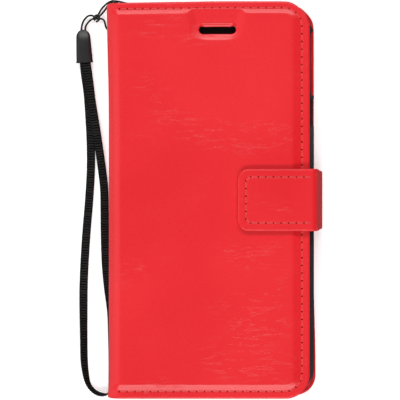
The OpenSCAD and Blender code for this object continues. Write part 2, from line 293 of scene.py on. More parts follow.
def coated_leather():
    """Glossy smooth red leather: fine pores and faint wispy creases that run across it."""
    s = Shader("red_leather", (0.78, 0.016, 0.026), 0.3, specular=0.42)
    broad = s.noise(22, detail=2.0)
    wisps = s.noise(150, 680, radians(4), detail=3.0, rough=0.55, distortion=0.6)
    patches = s.ramp(s.noise(32, 55, detail=1.0), (0.45, 0.0), (0.64, 1.0))
    line = s.ramp(wisps, (0.56, 0.0), (0.6, 1.0), (0.64, 0.0))
    creases = s.times(line, patches)
    pores = s.noise(2600, detail=2.0, rough=0.6)
    base = s.ramp(broad, (0.3, (0.745, 0.013, 0.02)), (0.7, (0.815, 0.021, 0.028)))
    s.color(s.mix(s.times(creases, 0.12), base, (0.9, 0.1, 0.1)))
    s.roughness(s.ramp(pores, (0.3, 0.26), (0.75, 0.36)))
    s.bump(creases, 0.06, 0.5)
    s.bump(pores, 0.012, 0.5)
    return s.material


def lining_leather():
    """Satin red lining with a fine pebble grain."""
    s = Shader("lining_leather", (0.6, 0.02, 0.03), 0.48)
    grain = s.cells(1700)
    cloud = s.noise(30, detail=3.0)
    s.color(s.ramp(cloud, (0.3, (0.54, 0.014, 0.022)), (0.7, (0.64, 0.024, 0.034))))
    s.roughness(s.ramp(grain, (0.1, 0.58), (0.6, 0.42)))
    s.bump(grain, 0.05, 0.6)
    return s.material


def sewing_thread():
    """Twisted red thread, lighter than the leather."""
    s = Shader("red_thread", (0.8, 0.07, 0.07), 0.5)
    strands = s.noise(3500, detail=2.0)
    s.color(s.ramp(strands, (0.3, (0.7, 0.032, 0.037)), (0.7, (0.9, 0.1, 0.095))))
    s.roughness(s.ramp(strands, (0.3, 0.45), (0.7, 0.65)))
    s.bump(strands, 0.05, 0.7)
    return s.material


def painted_needle_hole_shade():
    """Painted shade: a dark red that stands for the shaded inside of a needle hole."""
    s = Shader("painted_needle_hole_shade", (0.2, 0.001, 0.003), 0.9, specular=0.0)
    cloud = s.noise(2500)
    s.color(s.ramp(cloud, (0.3, (0.2, 0.0003, 0.001)), (0.7, (0.33, 0.001, 0.002))))
    return s.material


def moulded_plastic(name, dark, light, roughness):
    """Satin moulded plastic with a fine spark-eroded texture."""
    s = Shader(name, light, roughness)
    fine = s.noise(4200, detail=2.0)
    cloud = s.noise(90, detail=3.0)
    s.color(s.ramp(cloud, (0.3, dark), (0.7, light)))
    s.roughness(s.ramp(fine, (0.3, roughness - 0.06), (0.7, roughness + 0.08)))
    s.bump(fine, 0.02, 0.6)
    return s.material


def black_nylon(name, twill, light, dark, specular=0.3):
    """Black nylon yarn: a fine weave whose threads cross at that many per metre."""
    s = Shader(name, (light, light, light), 0.6, specular)
    threads = s.cells(twill)
    s.color(s.ramp(threads, (0.1, light), (0.7, dark)))
    s.roughness(s.ramp(threads, (0.1, 0.5), (0.7, 0.75)))
    s.bump(threads, 0.06, 0.7)
    return s.material


def fibre_board():
    """Grey pressed board with stray fibres."""
    s = Shader("stiffener", (0.33, 0.31, 0.28), 0.85, specular=0.2)
    fibres = s.noise(500, 2400, detail=4.0, rough=0.6)
    s.color(s.ramp(fibres, (0.3, (0.25, 0.235, 0.21)), (0.7, (0.42, 0.4, 0.37))))
    s.bump(fibres, 0.06, 0.7)
    return s.material


def foam_sheet():
    """Thin closed-cell foam."""
    s = Shader("foam", (0.84, 0.84, 0.81), 0.9, specular=0.2)
    holes = s.cells(1400)
    s.color(s.ramp(holes, (0.1, (0.7, 0.7, 0.67)), (0.6, (0.88, 0.88, 0.85))))
    s.bump(holes, 0.1, 0.8)
    return s.material


def adhesive_film():
    """Double-sided adhesive pad with small trapped bubbles."""
    s = Shader("adhesive", (0.8, 0.8, 0.77), 0.35)
    bubbles = s.noise(700, detail=2.0)
    s.color(s.ramp(bubbles, (0.4, (0.74, 0.74, 0.7)), (0.7, (0.86, 0.86, 0.83))))
    s.bump(bubbles, 0.03, 0.5)
    return s.material


def plain_metal(name, color, roughness, stretch):
    """Metal with fine rolling marks along X, drawn out by stretch."""
    s = Shader(name, color, roughness)
    s.surface.inputs["Metallic"].default_value = 1.0
    marks = s.noise(3000 / stretch, 3000, detail=3.0)
    s.roughness(s.ramp(marks, (0.3, roughness - 0.08), (0.7, roughness + 0.1)))
    s.bump(marks, 0.01, 0.5)
    return s.material


# ---- Making pieces ----

def finish(obj, slot, look=None, sharp=40, weld=0.0, turn_out=False):
    """Welds close vertices, smooths the faces, with a hard line wherever two of them meet
    at more than sharp degrees, and gives the piece the material named by look, or by slot
    when there is no look."""
    mesh = obj.data
    bm = bmesh.new()
    bm.from_mesh(mesh)
    if weld:
        bmesh.ops.remove_doubles(bm, verts=bm.verts, dist=weld * MM)
    if turn_out:
        bmesh.ops.recalc_face_normals(bm, faces=bm.faces)
    for face in bm.faces:
        face.smooth = True
    for edge in bm.edges:
        if len(edge.link_faces) == 2 and edge.calc_face_angle(0) > radians(sharp):
            edge.smooth = False
    bm.to_mesh(mesh)
    bm.free()
    mesh.materials.clear()
    mesh.materials.append(materials[look or slot])
    return obj


def face_outwards(mesh, outwards):
    """Turns every face of an open sheet to the one side, which outwards names."""
    bm = bmesh.new()
    bm.from_mesh(mesh)
    bmesh.ops.recalc_face_normals(bm, faces=bm.faces)
    total = sum((face.normal * face.calc_area() for face in bm.faces), Vector())
    if total.dot(Vector(outwards)) < 0:
        bmesh.ops.reverse_faces(bm, faces=bm.faces)
    bm.to_mesh(mesh)
    bm.free()


def piece(name, verts, faces, slot, look=None, thickness=0.0, outwards=None, sharp=40):
    """A mesh object from points in millimetres. A thickness makes a sheet, whose points
    are its side that faces outwards, a closed solid."""
    mesh = bpy.data.meshes.new(name)
    mesh.from_pydata([tuple(c * MM for c in v) for v in verts], [], faces)
    obj = linked(name, mesh)
    if thickness:
        face_outwards(mesh, outwards)
        solid = obj.modifiers.new("thickness", "SOLIDIFY")
        solid.thickness = thickness * MM
        solid.offset = -1
        solid.use_even_offset = False
        apply_modifiers(obj)
    return finish(obj, slot, look, sharp, weld=0.004, turn_out=True)


def put(obj, body, *nodes):
    """Rides a piece on a body, in place of the CAD nodes that it stands for."""
    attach(obj, body)
    if nodes:
        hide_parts(*nodes)


def bend(obj, body_a, body_b, start, end):
    """Bakes the piece's placement into its mesh. The two bodies and the two (x, z) points are
    not used.
    """
    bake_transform(obj)


def final_mesh(obj):
    depsgraph = bpy.context.evaluated_depsgraph_get()
    return bpy.data.meshes.new_from_object(obj.evaluated_get(depsgraph))


def apply_modifiers(obj):
    mesh = final_mesh(obj)
    obj.modifiers.clear()
    obj.data = mesh


def grid_faces(table):
    """Quads over a table of vertex numbers."""
    faces = []
    for row, above in zip(table, table[1:]):
        for a, b, c, d in zip(row, row[1:], above[1:], above):
            faces.append((a, b, c, d))
    return faces


def slab(name, outlines, z0, z1, edge, slot):
    """A flat sheet between two heights with its edges rounded. The first outline is its
    edge and any others are holes in it."""
    curve = bpy.data.curves.new(name, "CURVE")
    curve.dimensions = "2D"
    curve.fill_mode = "BOTH"
    curve.extrude = ((z1 - z0) / 2 - edge) * MM
    curve.bevel_depth = edge * MM
    curve.bevel_resolution = 2
    curve.offset = -edge * MM
    for outline in outlines:
        spline = curve.splines.new("POLY")
        spline.points.add(len(outline) - 1)
        for point, (x, y) in zip(spline.points, outline):
            point.co = (x * MM, y * MM, 0, 1)
        spline.use_cyclic_u = True
    shape = linked(name + "_curve", curve)
    bpy.context.view_layer.update()
    mesh = final_mesh(shape)
    bpy.data.objects.remove(shape)
    mesh.transform(Matrix.Translation((0, 0, (z0 + z1) / 2 * MM)))
    return finish(linked(name, mesh), slot, sharp=60, weld=0.002)


def quarter(n):
    """Angles of a quarter turn in n steps."""
    return [radians(90 * i / n) for i in range(n + 1)]


def ring(centre, side, high, wide, tall, sides):
    """Points on an ellipse round a centre."""
    angles = [2 * pi * k / sides for k in range(sides)]
    return [centre + side * (wide * cos(a)) + high * (tall * sin(a)) for a in angles]


def tube_faces(rings, sides, first=0):
    """Faces of a closed tube of rings with that many points each, numbered from first."""
    faces = []
    for i in range(rings - 1):
        for k in range(sides):
            a, b = first + i * sides + k, first + i * sides + (k + 1) % sides
            faces.append((a, b, b + sides, a + sides))
    faces.append(tuple(first + k for k in range(sides))[::-1])
    faces.append(tuple(first + (rings - 1) * sides + k for k in range(sides)))
    return faces


def add_tube(verts, faces, points, half_wide, half_high, up, sides):
    """Adds a closed tube along points, flattened against up, to verts and faces. Each
    point has its own half width and half height."""
    first, last = len(verts), len(points) - 1
    for i, point in enumerate(points):
        along = (points[min(i + 1, last)] - points[max(i - 1, 0)]).normalized()
        side = along.cross(up).normalized()
        verts += ring(point, side, side.cross(along), half_wide[i], half_high[i], sides)
    faces += tube_faces(last + 1, sides, first)


def rows_of(values, across, place):
    """Points, a row for each value and in it one for each (v, depth), and their table."""
    verts = [place(u, v, depth) for u in values for v, depth in across]
    n = len(across)
    return verts, [list(range(i * n, i * n + n)) for i in range(len(values))]


def arc(x, y, r, a0, a1, n=12):
    """Points on an arc, its angles in degrees."""
    angles = [radians(a0 + (a1 - a0) * i / n) for i in range(n + 1)]
    return [(x + r * cos(a), y + r * sin(a)) for a in angles]


def round_box(x0, x1, y0, y1, r):
    return (arc(x1 - r, y0 + r, r, -90, 0) + arc(x1 - r, y1 - r, r, 0, 90)
            + arc(x0 + r, y1 - r, r, 90, 180) + arc(x0 + r, y0 + r, r, 180, 270))


def cover_outline(left, right, top, r):
    """Square at the spine and rounded on the free side."""
    return ([(left, top), (left, -top)] + arc(right - r, -top + r, r, -90, 0)
            + arc(right - r, top - r, r, 0, 90))


# ---- Sewing ----

def resample(route, pitch):
    """Points evenly spaced along a polyline, about pitch apart."""
    route = [Vector(p) for p in route]
    lengths = [0.0]
    for a, b in zip(route, route[1:]):
        lengths.append(lengths[-1] + (b - a).length)
    n = round(lengths[-1] / pitch)
    points, k = [], 0
    for i in range(n + 1):
        at = lengths[-1] * i / n
        while k < len(route) - 2 and lengths[k + 1] < at:
            k += 1
        share = (at - lengths[k]) / max(lengths[k + 1] - lengths[k], 1e-9)
        points.append(route[k].lerp(route[k + 1], min(1.0, share)))
    return points


def sew(name, route, up, body, node):
    """Thread segments along a route from hole to hole, and at each hole a small disc in a
    dark red of painted shade, for the shaded needle hole.
    """
    up = Vector(up)
    holes = resample(route, stitch_pitch)
    path = [(0.05, -0.2), (0.12, 0.0), (0.25, 0.75), (0.5, 1.0), (0.75, 0.75),
            (0.88, 0.0), (0.95, -0.2)]
    taper = (0.5, 0.85, 1.0, 1.0, 1.0, 0.85, 0.5)
    widths, heights = [[r * share for share in taper] for r in (thread_r, 0.8 * thread_r)]
    verts, faces = [], []
    for a, b in zip(holes, holes[1:]):
        points = [a + (b - a) * t + up * (lift * thread_rise) for t, lift in path]
        add_tube(verts, faces, points, widths, heights, up, 8)
    put(piece(name, verts, faces, "red_thread"), body, node)

    # Small discs at the holes, coloured dark red as painted shade for the needle holes
    verts, faces = [], []
    along = up.orthogonal().normalized()
    for hole in holes:
        faces += tube_faces(4, 10, len(verts))
        for h, r in ((-0.12, 0.46), (-0.02, 0.46), (0.05, 0.4), (0.07, 0.16)):
            verts += ring(hole + up * h, along, up.cross(along), r, r, 10)
    put(piece(name + "_painted_needle_hole_shades", verts, faces, "red_thread", "painted_needle_hole_shade"), body)


# ---- The cover's outside as one surface ----

x_round = x_left + spine_r
x_low_round = x_left + spine_low_r
lower_arc = 0.5 * pi * spine_low_r
side_end = lower_arc + margin_z - spine_r - spine_low_r
upper_arc_end = side_end + 0.5 * pi * spine_r


def profile(s):
    """Point (x, z) on the cover's outside and the normal there, at a distance s along it
    from where the back cover starts to turn up into the spine."""
    if s < 0:
        return (x_low_round - s, 0.0), (0.0, -1.0)
    if s < lower_arc:
        a = s / spine_low_r
        at = (x_low_round - spine_low_r * sin(a), spine_low_r * (1 - cos(a)))
        return at, (-sin(a), -cos(a))
    if s < side_end:
        return (x_left, spine_low_r + s - lower_arc), (-1.0, 0.0)
    if s < upper_arc_end:
        a = (s - side_end) / spine_r
        z = margin_z - spine_r
        return (x_round - spine_r * cos(a), z + spine_r * sin(a)), (-cos(a), sin(a))
    return (x_round + s - upper_arc_end, margin_z), (0.0, 1.0)


def slanted(x, y):
    """y moved to a top edge that drops a little towards the spine."""
    return y - top_slant * max(0.0, y / y_top) * max(0.0, x / x_left)


def rounded_off(x, y, right, top, pull):
    """A point moved in near the top free corner, which is rounder than the bottom one."""
    near = max(0.0, 1 - (right - x) / 12) ** 2 * max(0.0, 1 - (top - y) / 12) ** 2
    step = 2.1 * pull * near
    return x - step, y - step


def front_shape(x, y):
    x, y = rounded_off(x, y, x_front, y_top, 0.7)
    return x, slanted(x, y)


def back_shape(x, y):
    """The back cover's free side also stands out a little near the bottom end."""
    x, y = rounded_off(x, y, x_back, y_top, 0.9)
    return x + 0.7 * smoothstep(-30, -68, y) * smoothstep(20, 40, x), slanted(x, y)


def corner_distance(u, v, r):
    """How far a point lies inside an outline, from how far it is from two sides of it that
    meet in a corner of radius r."""
    return r - hypot(r - u, r - v) if u < r and v < r else min(u, v)


def pressed_line(d, inset, depth):
    """Depth, at a distance d from an edge, of the line that a seam presses in near it."""
    return depth * max(0.0, 1 - ((d - inset) / 0.55) ** 2) ** 2


def groove(x, y, right, r):
    """Depth of the line that the seam presses into the leather."""
    low = seam_low_shift * smoothstep(50, 60, -y)
    d = corner_distance(right - seam_side_shift - x, y_top - abs(y - low), r)
    return pressed_line(d, seam_inset, 0.16)


def panel_distance(x, y):
    """How far a point lies inside the padded panel, whose free side slopes more gently."""
    px = 0.65 * (x_front - 3.8 - x)
    py = y_top - (2.85 if y > 0 else 3.7) - abs(y)
    return corner_distance(px, py, 4.6)


def recess_distance(x, y):
    """How far a point lies outside the recess round the earpiece slot."""
    low = slot_at[1] - 2.3
    wide = 7.2 + 2.4 * max(0.0, min(1.0, (y - low) / 10.3)) ** 2
    r = 2.2
    qx = 0.6 * (abs(x - slot_at[0] + 0.5) - wide) + r
    qy = low - y + r
    return hypot(max(qx, 0), max(qy, 0)) + min(max(qx, qy), 0) - r


def panel_slope(d):
    """Share of the panel's rise at a distance from its foot: straight, then eased onto
    the flat."""
    t = d / panel_slope_w
    if t < 0.65:
        return max(0.0, 1.2 * t)
    return 1 - 1.633 * max(0.0, 1.017 - t) ** 2


def front_relief(x, y):
    """Height of the padded front above its sewn margin. x runs on past the spine's turn."""
    inside = min(panel_distance(x, y), recess_distance(x, y))
    fade = smoothstep(x_round - 5.5, x_round + 0.5, x)
    place = Vector((x * 0.035, y * 0.06, 0.3))
    waves = 0.05 * noise.noise(place) * smoothstep(2, 9, inside) * fade
    sx = max(0.0, abs(x - slot_at[0]) - slot_half[0] + slot_half[1])
    lip = 0.14 * smoothstep(2.0, 0.5, hypot(sx, y - slot_at[1]) - slot_half[1])
    pressed = groove(x, y, x_front, corner_r) * smoothstep(x_round - 1.8, x_round - 0.4, x)
    return panel_rise * panel_slope(inside) * fade + waves + lip - pressed


def back_relief(x, y):
    """Height of the flat back, which is only marked by its seam."""
    inside = smoothstep(x_low_round - 0.2, x_low_round + 1.2, x)
    return -groove(x, y, x_back, back_corner_r) * inside


def rounded_edge(top_r, low_r, t, *between):
    """(distance from the edge, depth) round a sheet's edge, from its top to its underside."""
    return ([(top_r * (1 - sin(a)), top_r * (1 - cos(a))) for a in quarter(5)[1:]]
            + list(between)
            + [(low_r * (1 - cos(a)), t - low_r + low_r * sin(a)) for a in quarter(4)])


def cover_rings(*steps):
    """(distance from the edge, depth below the surface) from well inside a cover out to its
    edge, round it and a little way back under it."""
    under = 0.5
    return ([(d, 0.0) for d in chain(*steps)]
            + rounded_edge(edge_r, under, cover_t, (0.0, 0.5 * (edge_r + cover_t - under)))
            + [(1.3, cover_t)])


front_rings = cover_rings((corner_r, 7.4, 0.8), (7.4, 2.3, 0.2), (2.3, edge_r, 0.5))
back_rings = cover_rings((back_corner_r, 3.4, 0.8), (3.4, 1.8, 0.2), (1.8, edge_r, 0.5))
front_rows = chain((-y_top + corner_r, -60, 1.6), (-60, 58, 2.0), (58, 62.8, 1.2),
                   (62.8, slot_at[1] - 3.6, 0.3), (slot_at[1] - 3.6, y_top - corner_r, 0.35))


def row_line(rings, rows, half):
    """(y, depth) of every row across a cover, from under one edge to under the other."""
    return ([(-half + d, depth) for d, depth in reversed(rings)]
            + [(y, 0.0) for y in rows[1:-1]] + [(half - d, depth) for d, depth in rings])


def plate(columns, rows, rings, half, end, radius, place, hole=None):
    """Vertices and faces of a sheet with a free end at u = end, rounded at its two
    corners. place turns (u, v, depth) into a point. hole is (centre, half size, lip
    radius, depth) of a slot with round ends. Rings that reach in as far as the corners'
    centres make it a closed strap."""
    verts, faces = [], []

    def add(u, v, depth):
        verts.append(place(u, v, depth))
        return len(verts) - 1

    across = row_line(rings, rows, half)
    first = len(rings) - 1
    last = first + len(rows) - 1
    table = [[add(u, v, depth) for v, depth in across] for u in columns]
    faces += grid_faces([line[:first + 1] for line in table])
    faces += grid_faces([line[last:] for line in table])

    core_rows = [v for v, _ in across[first:last + 1]]
    core_columns = columns + [end - d for d, _ in rings[1:]]
    core = [line[first:last + 1] for line in table]
    core += [[add(end - d, v, depth) for v in core_rows] for d, depth in rings[1:]]
    quads = grid_faces(core)
    if hole:
        patch_quads, skipped = hole_patch(core_columns, core_rows, core, hole, add)
        quads = [q for q in quads if q not in skipped]
        faces += patch_quads
    faces += quads

    edge = table[-1]
    tip = core[len(columns) - 1:]
    for sign, straight, side in ((1, edge[last:], [line[-1] for line in tip]),
                                 (-1, edge[first::-1], [line[0] for line in tip])):
        centre = straight[0]
        fan = [straight]
        for a in quarter(14)[-2:0:-1]:
            line = [centre]
            for d, depth in rings[1:]:
                r = radius - d
                v = sign * (half - radius + r * sin(a))
                line.append(add(end - radius + r * cos(a), v, depth))
            fan.append(line)
        fan.append(side)
        for low, high in zip(fan, fan[1:]):
            faces.append((centre, low[1], high[1]))
            for k in range(1, len(rings) - 1):
                faces.append((low[k], low[k + 1], high[k + 1], high[k]))
    if abs(rings[-1][0] - radius) < 1e-6:
        faces.append(tuple([line[0] for line in table] + core[-1]
                           + [line[-1] for line in reversed(table)]))
    return verts, faces


def hole_patch(columns, rows, table, hole, add):
    """Faces that lead from the grid lines round a slot to its edge and down its wall, and
    the grid's faces that they take the place of."""
    (cx, cy), (hw, hh), lip, deep = hole

    def nearest(values, target):
        return min(range(len(values)), key=lambda i: abs(values[i] - target))

    i0, i1 = nearest(columns, cx - hw - 2.0), nearest(columns, cx + hw + 2.0)
    j0, j1 = nearest(rows, cy - hh - 1.8), nearest(rows, cy + hh + 1.8)
    loop = ([(i, j0) for i in range(i0, i1)] + [(i1, j) for j in range(j0, j1)]
            + [(i, j1) for i in range(i1, i0, -1)] + [(i0, j) for j in range(j1, j0, -1)])
    lines = []
    for i, j in loop:
        start = Vector((columns[i], rows[j]))
        mid = Vector((max(cx - hw + hh, min(cx + hw - hh, start.x)), cy))
        away = (start - mid).normalized()
        rim = mid + away * (hh + lip)
        line = [table[i][j]]
        for share in (0.25, 0.5, 0.72, 0.88):
            at = start.lerp(rim, share)
            line.append(add(at.x, at.y, 0.0))
        for a in quarter(4):
            at = mid + away * (hh + lip * (1 - sin(a)))
            line.append(add(at.x, at.y, lip * (1 - cos(a))))
        wall = mid + away * hh
        line.append(add(wall.x, wall.y, 0.5 * (lip + deep)))
        line.append(add(wall.x, wall.y, deep))
        lines.append(line)
    faces = grid_faces(lines + [lines[0]])
    skipped = set(grid_faces([row[j0:j1 + 1] for row in table[i0:i1 + 1]]))
    return faces, skipped


def front_place(x, y, depth):
    return (*front_shape(x, y), margin_z + front_relief(x, y) - depth)


def back_place(x, y, depth):
    return (*back_shape(x, y), -back_relief(x, y) + depth)


def make_cover(name, body, place, shape, columns, rows, rings, right, radius, hole, side,
               z0, z1):
    """One cover's leather and its lining between heights z0 and z1, with a slot in both."""
    verts, faces = plate(columns, rows, rings, y_top, right, radius, place, (*hole, 0.4, 2.0))
    put(piece(name + "_cover_leather", verts, faces, "red_leather", thickness=leather_t,
              outwards=(0, 0, side)), body, name + "_skin")
    (cx, cy), (hw, hh) = hole
    outline = cover_outline(join_x, right - 0.9, y_top - 0.9, radius - 0.9)
    opening = round_box(cx - hw, cx + hw, cy - hh, cy + hh, hh - 0.01)
    put(slab(name + "_cover_lining", [[shape(x, y) for x, y in outline], opening], z0, z1,
             0.1, "lining_leather"), body, name + "_lining")


def make_covers():
    columns = chain((join_x, -14, 1.5), (-14, -9.5, 0.4), (-9.5, 11.5, 0.42), (11.5, 16, 0.45),
                    (16, x_front - corner_r, 1.5))
    make_cover("front", "front_cover", front_place, front_shape, columns, front_rows,
               front_rings, x_front, corner_r, (slot_at, slot_half), 1,
               margin_z - cover_t - 0.06, margin_z - cover_t + 0.3)
    columns = chain((join_x, 5, 1.6), (5, x_back - back_corner_r, 0.6))
    rows = chain((-y_top + back_corner_r, 56, 2.0), (56, y_top - back_corner_r, 0.5))
    make_cover("back", "back_cover", back_place, back_shape, columns, rows, back_rings,
               x_back, back_corner_r, (window_at, window_half), -1, cover_t - 0.35, cover_t)


# ---- Spine ----

inner_t = 0.35
spine_cuts = [
    x_low_round - join_x,
    lower_arc / 2,
    (lower_arc + side_end) / 2,
    side_end + lower_arc / 2,
    upper_arc_end + join_x - x_round,
]

# Name, the bodies at its two ends, and the (x, z) points at the two ends of its bend
SPINE_PARTS = [
    ("lower_hinge", "back_cover", "spine_lower", (-37.9, 0.0), (-40.71, 1.05)),
    ("lower", "spine_lower", "spine_middle", (-42.0, 3.0), (-43.0, 7.2)),
    ("upper", "spine_middle", "spine_upper", (-43.0, 9.2), (-42.0, 13.4)),
    ("upper_hinge", "spine_upper", "front_cover", (-40.71, 15.35), (-37.9, 16.4)),
]


def cut_columns(s0, s1, step):
    """Values from cut to cut, with one more close inside each cut."""
    near = 0.03
    return [s0] + chain((s0 + near, s1 - near, step)) + [s1]


def flared(x, y):
    """x moved out at the spine's two ends, more at the top end."""
    out = 0.85 * smoothstep(30, 84, y) + 0.5 * smoothstep(72, 82, -y)
    return x - out * smoothstep(join_x, x_left, x)


def spine_place(s, y, depth):
    (x, z), (nx, nz) = profile(s)
    if s > (lower_arc + side_end) / 2:
        out = front_relief(x_round + s - upper_arc_end, y) - depth
    else:
        out = back_relief(x_low_round - s, y) - depth if s < 0 else -depth
    return (flared(x + nx * out, y), slanted(x, y), z + nz * out)


def spine_inner_place(s, y, depth):
    (x, z), (nx, nz) = profile(s)
    return (flared(x - nx * depth, y), slanted(x, y), z - nz * depth)


def make_spine():
    across = row_line(front_rings, front_rows, y_top)
    inner = [(y, cover_t - inner_t) for y in spread(-y_top + 0.9, y_top - 0.9, 2.0)]
    for k, (name, body_a, body_b, start, end) in enumerate(SPINE_PARTS):
        values = cut_columns(spine_cuts[k], spine_cuts[k + 1], 0.45)
        outwards = (-1, 0, 0.4 * (k - 1.5))
        verts, table = rows_of(values, across, spine_place)
        faces = grid_faces(table)
        if name == "lower":
            faces = [f for f in faces if not in_spine_window(verts, f)]
        skin = piece("spine_leather_" + name, verts, faces, "red_leather",
                     thickness=leather_t, outwards=outwards)
        verts, table = rows_of(values, inner, spine_inner_place)
        lining = piece("spine_inner_" + name, verts, grid_faces(table), "lining_leather",
                       thickness=inner_t, outwards=outwards)
        bend(skin, body_a, body_b, start, end)
        bend(lining, body_a, body_b, start, end)
        if k < 3:
            part = ("lower", "middle", "upper")[k]
            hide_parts("spine_skin_" + part)
            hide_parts("spine_lining_" + part)


def in_spine_window(verts, face):
    """Whether a face of the lower spine lies in the opening for the lanyard's cord."""
    ys = [verts[i][1] for i in face]
    zs = [verts[i][2] for i in face]
    return (y_top - 14.5 < min(ys) and max(ys) < y_top - 5.5 and max(zs) < 4.6
            and min(zs) > 1.6)


# ---- Strap ----

strap_r = 2.6
strap_foot_r = 2.0
strap_lean = radians(11)
strap_t = 1.85
strap_skin_t = 1.15
tab_r = 4.4
tab_inset = 3.35
bend_end = 0.5 * pi - strap_lean
tab_bend = strap_r * bend_end
foot_bend = strap_foot_r * (pi - bend_end)
strap_side = (z_tab_top - z_strap_foot - strap_r * (1 - cos(bend_end))
              - strap_foot_r * (1 + cos(bend_end))) / sin(bend_end)
x_foot = x_fold - strap_foot_r
x_bend = (x_foot + strap_foot_r * sin(bend_end) - strap_side * cos(bend_end)
          - strap_r * sin(bend_end))


def strap_profile(s):
    """Point (x, z) and outward normal on the strap's outside, at a distance s from where
    the tab starts to bend down to the side, which leans out towards its foot."""
    if s < 0:
        return (x_bend + s, z_tab_top), (0.0, 1.0)
    if s < tab_bend:
        a, z = s / strap_r, z_tab_top - strap_r
        return (x_bend + strap_r * sin(a), z + strap_r * cos(a)), (sin(a), cos(a))
    nx, nz = sin(bend_end), cos(bend_end)
    s -= tab_bend
    if s < strap_side:
        z = z_tab_top - strap_r + strap_r * nz
        return (x_bend + strap_r * nx + s * nz, z - s * nx), (nx, nz)
    s -= strap_side
    z = z_strap_foot + strap_foot_r
    if s < foot_bend:
        a = bend_end + s / strap_foot_r
        return (x_foot + strap_foot_r * sin(a), z + strap_foot_r * cos(a)), (sin(a), cos(a))
    return (x_foot - s + foot_bend, z_strap_foot), (0.0, -1.0)


def strap_rings(t, top_r, low_r):
    """(distance from the strap's edge, depth) from the middle out, round the edge and under."""
    flat = chain((tab_r, 3.9, 0.5), (3.9, 2.9, 0.2), (2.9, top_r, 0.5))
    return [(d, 0.0) for d in flat] + rounded_edge(top_r, low_r, t) + [(tab_r, t)]


def tab_groove(x, y):
    """Depth of the line pressed by the tab's seam."""
    if x > x_bend:
        return 0.0
    d = corner_distance(x - tab_low[0], strap_half - abs(y), tab_r)
    return pressed_line(d, tab_inset, 0.14)


# Name, where it starts and ends along the strap, then as for the spine
STRAP_PARTS = [
    ("fold", -1.0, tab_bend + strap_side / 2, "strap_side", "strap_tab",
     (x_bend + 3.05, z_tab_top - 4.6), (x_bend - 0.33, z_tab_top - 1.22)),
    ("foot", tab_bend + strap_side / 2, tab_bend + strap_side + foot_bend + 2.6,
     "back_cover", "strap_side",
     (x_fold - 2.2, z_strap_foot + 0.5), (x_fold - 0.3, z_strap_foot + 3.8)),
]


def make_strap():
    # Name, ending of its CAD nodes, depth of its top, thickness, radii of its top and
    # bottom edges, and how far it stays in from the outline
    layers = [
        ("leather", "skin", 0.0, strap_skin_t, 0.75, 0.2, 0.0),
        ("lining", "lining", strap_skin_t, strap_t - strap_skin_t, 0.15, 0.25, 0.25),
    ]
    for layer, node, below, t, top_r, low_r, inset in layers:
        outer = layer == "leather"
        slot = "red_leather" if outer else "lining_leather"

        def tab_place(u, v, depth):
            x, z = strap_profile(-u)[0]
            if outer:
                z += 0.12 * smoothstep(9.5, 4.0, hypot(x - tab_low[0] - 13, v))
                z -= tab_groove(x, v) if depth == 0 else 0.0
            return (x, v, z - depth - below)

        def wrap_place(s, v, depth):
            (x, z), (nx, nz) = strap_profile(s)
            deep = depth + below
            narrow = 1 - 0.05 * smoothstep(tab_bend - 1, tab_bend + strap_side, s)
            return (x - nx * deep, v * narrow, z - nz * deep)

        rings = strap_rings(t, top_r, low_r)
        half, end = strap_half - inset, x_bend - tab_low[0] - inset
        rows = chain((-half + tab_r, half - tab_r, 0.8))
        columns = chain((1.0, end - tab_r, 0.6))
        verts, faces = plate(columns, rows, rings, half, end, tab_r, tab_place)
        put(piece("strap_" + layer + "_tab", verts, faces, slot, sharp=50),
            "strap_tab", "strap_tab_" + node)
        for name, s0, s1, body_a, body_b, start, stop in STRAP_PARTS:
            verts, table = rows_of(cut_columns(s0, s1, 0.4), row_line(rings, rows, half),
                                   wrap_place)
            faces = grid_faces([line + line[:1] for line in table])
            bent = piece("strap_" + layer + "_" + name, verts, faces, slot,
                         sharp=50)
            bend(bent, body_a, body_b, start, stop)
            if name == "fold":
                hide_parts("strap_side_" + node)


# ---- Seams ----

def cover_seam(left, right, corner, shape, z):
    """Seam line round a cover's three free sides."""
    r = corner - seam_inset
    right -= seam_side_shift + corner
    top, low = y_top - corner, seam_low_shift - y_top + corner
    line = ([(left, top + r)] + arc(right, top, r, 90, 0) + arc(right, low, r, 0, -90)
            + [(left, low - r)])
    return [(*shape(x, y), z) for x, y in line]


def make_seams():
    sew("front_seam", cover_seam(x_round - 0.6, x_front, corner_r, front_shape,
                                 margin_z - 0.1), (0, 0, 1), "front_cover",
        "front_stitching")
    sew("back_seam", cover_seam(x_low_round + 0.6, x_back, back_corner_r, back_shape, 0.1),
        (0, 0, -1), "back_cover", "back_stitching")
    x0, half, r = tab_low[0] + tab_inset, strap_half - tab_inset, 1.05
    outline = ([(x_bend - 0.2, half)] + arc(x0 + r, half - r, r, 90, 180, 4)
               + arc(x0 + r, -half + r, r, 180, 270, 4) + [(x_bend - 0.2, -half)])
    sew("tab_seam", [(x, y, z_tab_top - 0.1) for x, y in outline], (0, 0, 1), "strap_tab",
        "strap_tab_stitching")


# ---- Pockets inside the front cover ----

def make_pockets():
    for node, r in (("cash_pocket", 4), ("card_pocket_1", 2), ("card_pocket_2", 2),
                    ("card_pocket_3", 2)):
        low, high = node_box(node)
        sheet = slab(node + "_leather", [round_box(low[0], high[0], low[1], high[1], r)],
                     low[2] + 0.02, high[2] - 0.02, 0.12, "red_leather")
        put(sheet, "front_cover", node)
    low, high = node_box("pocket_stitching")
    outline = ([(low[0] + 0.3, 50)] + arc(low[0] + 3, low[1] + 3, 2.6, 180, 270, 6)
               + arc(high[0] - 3, low[1] + 3, 2.6, 270, 360, 6) + [(high[0] - 0.3, 50)])
    z = node_box("cash_pocket")[0][2] + 0.08
    sew("pocket_seam", [(x, y, z) for x, y in outline], (0, 0, -1), "front_cover",
        "pocket_stitching")


# ---- Shell and hidden parts ----

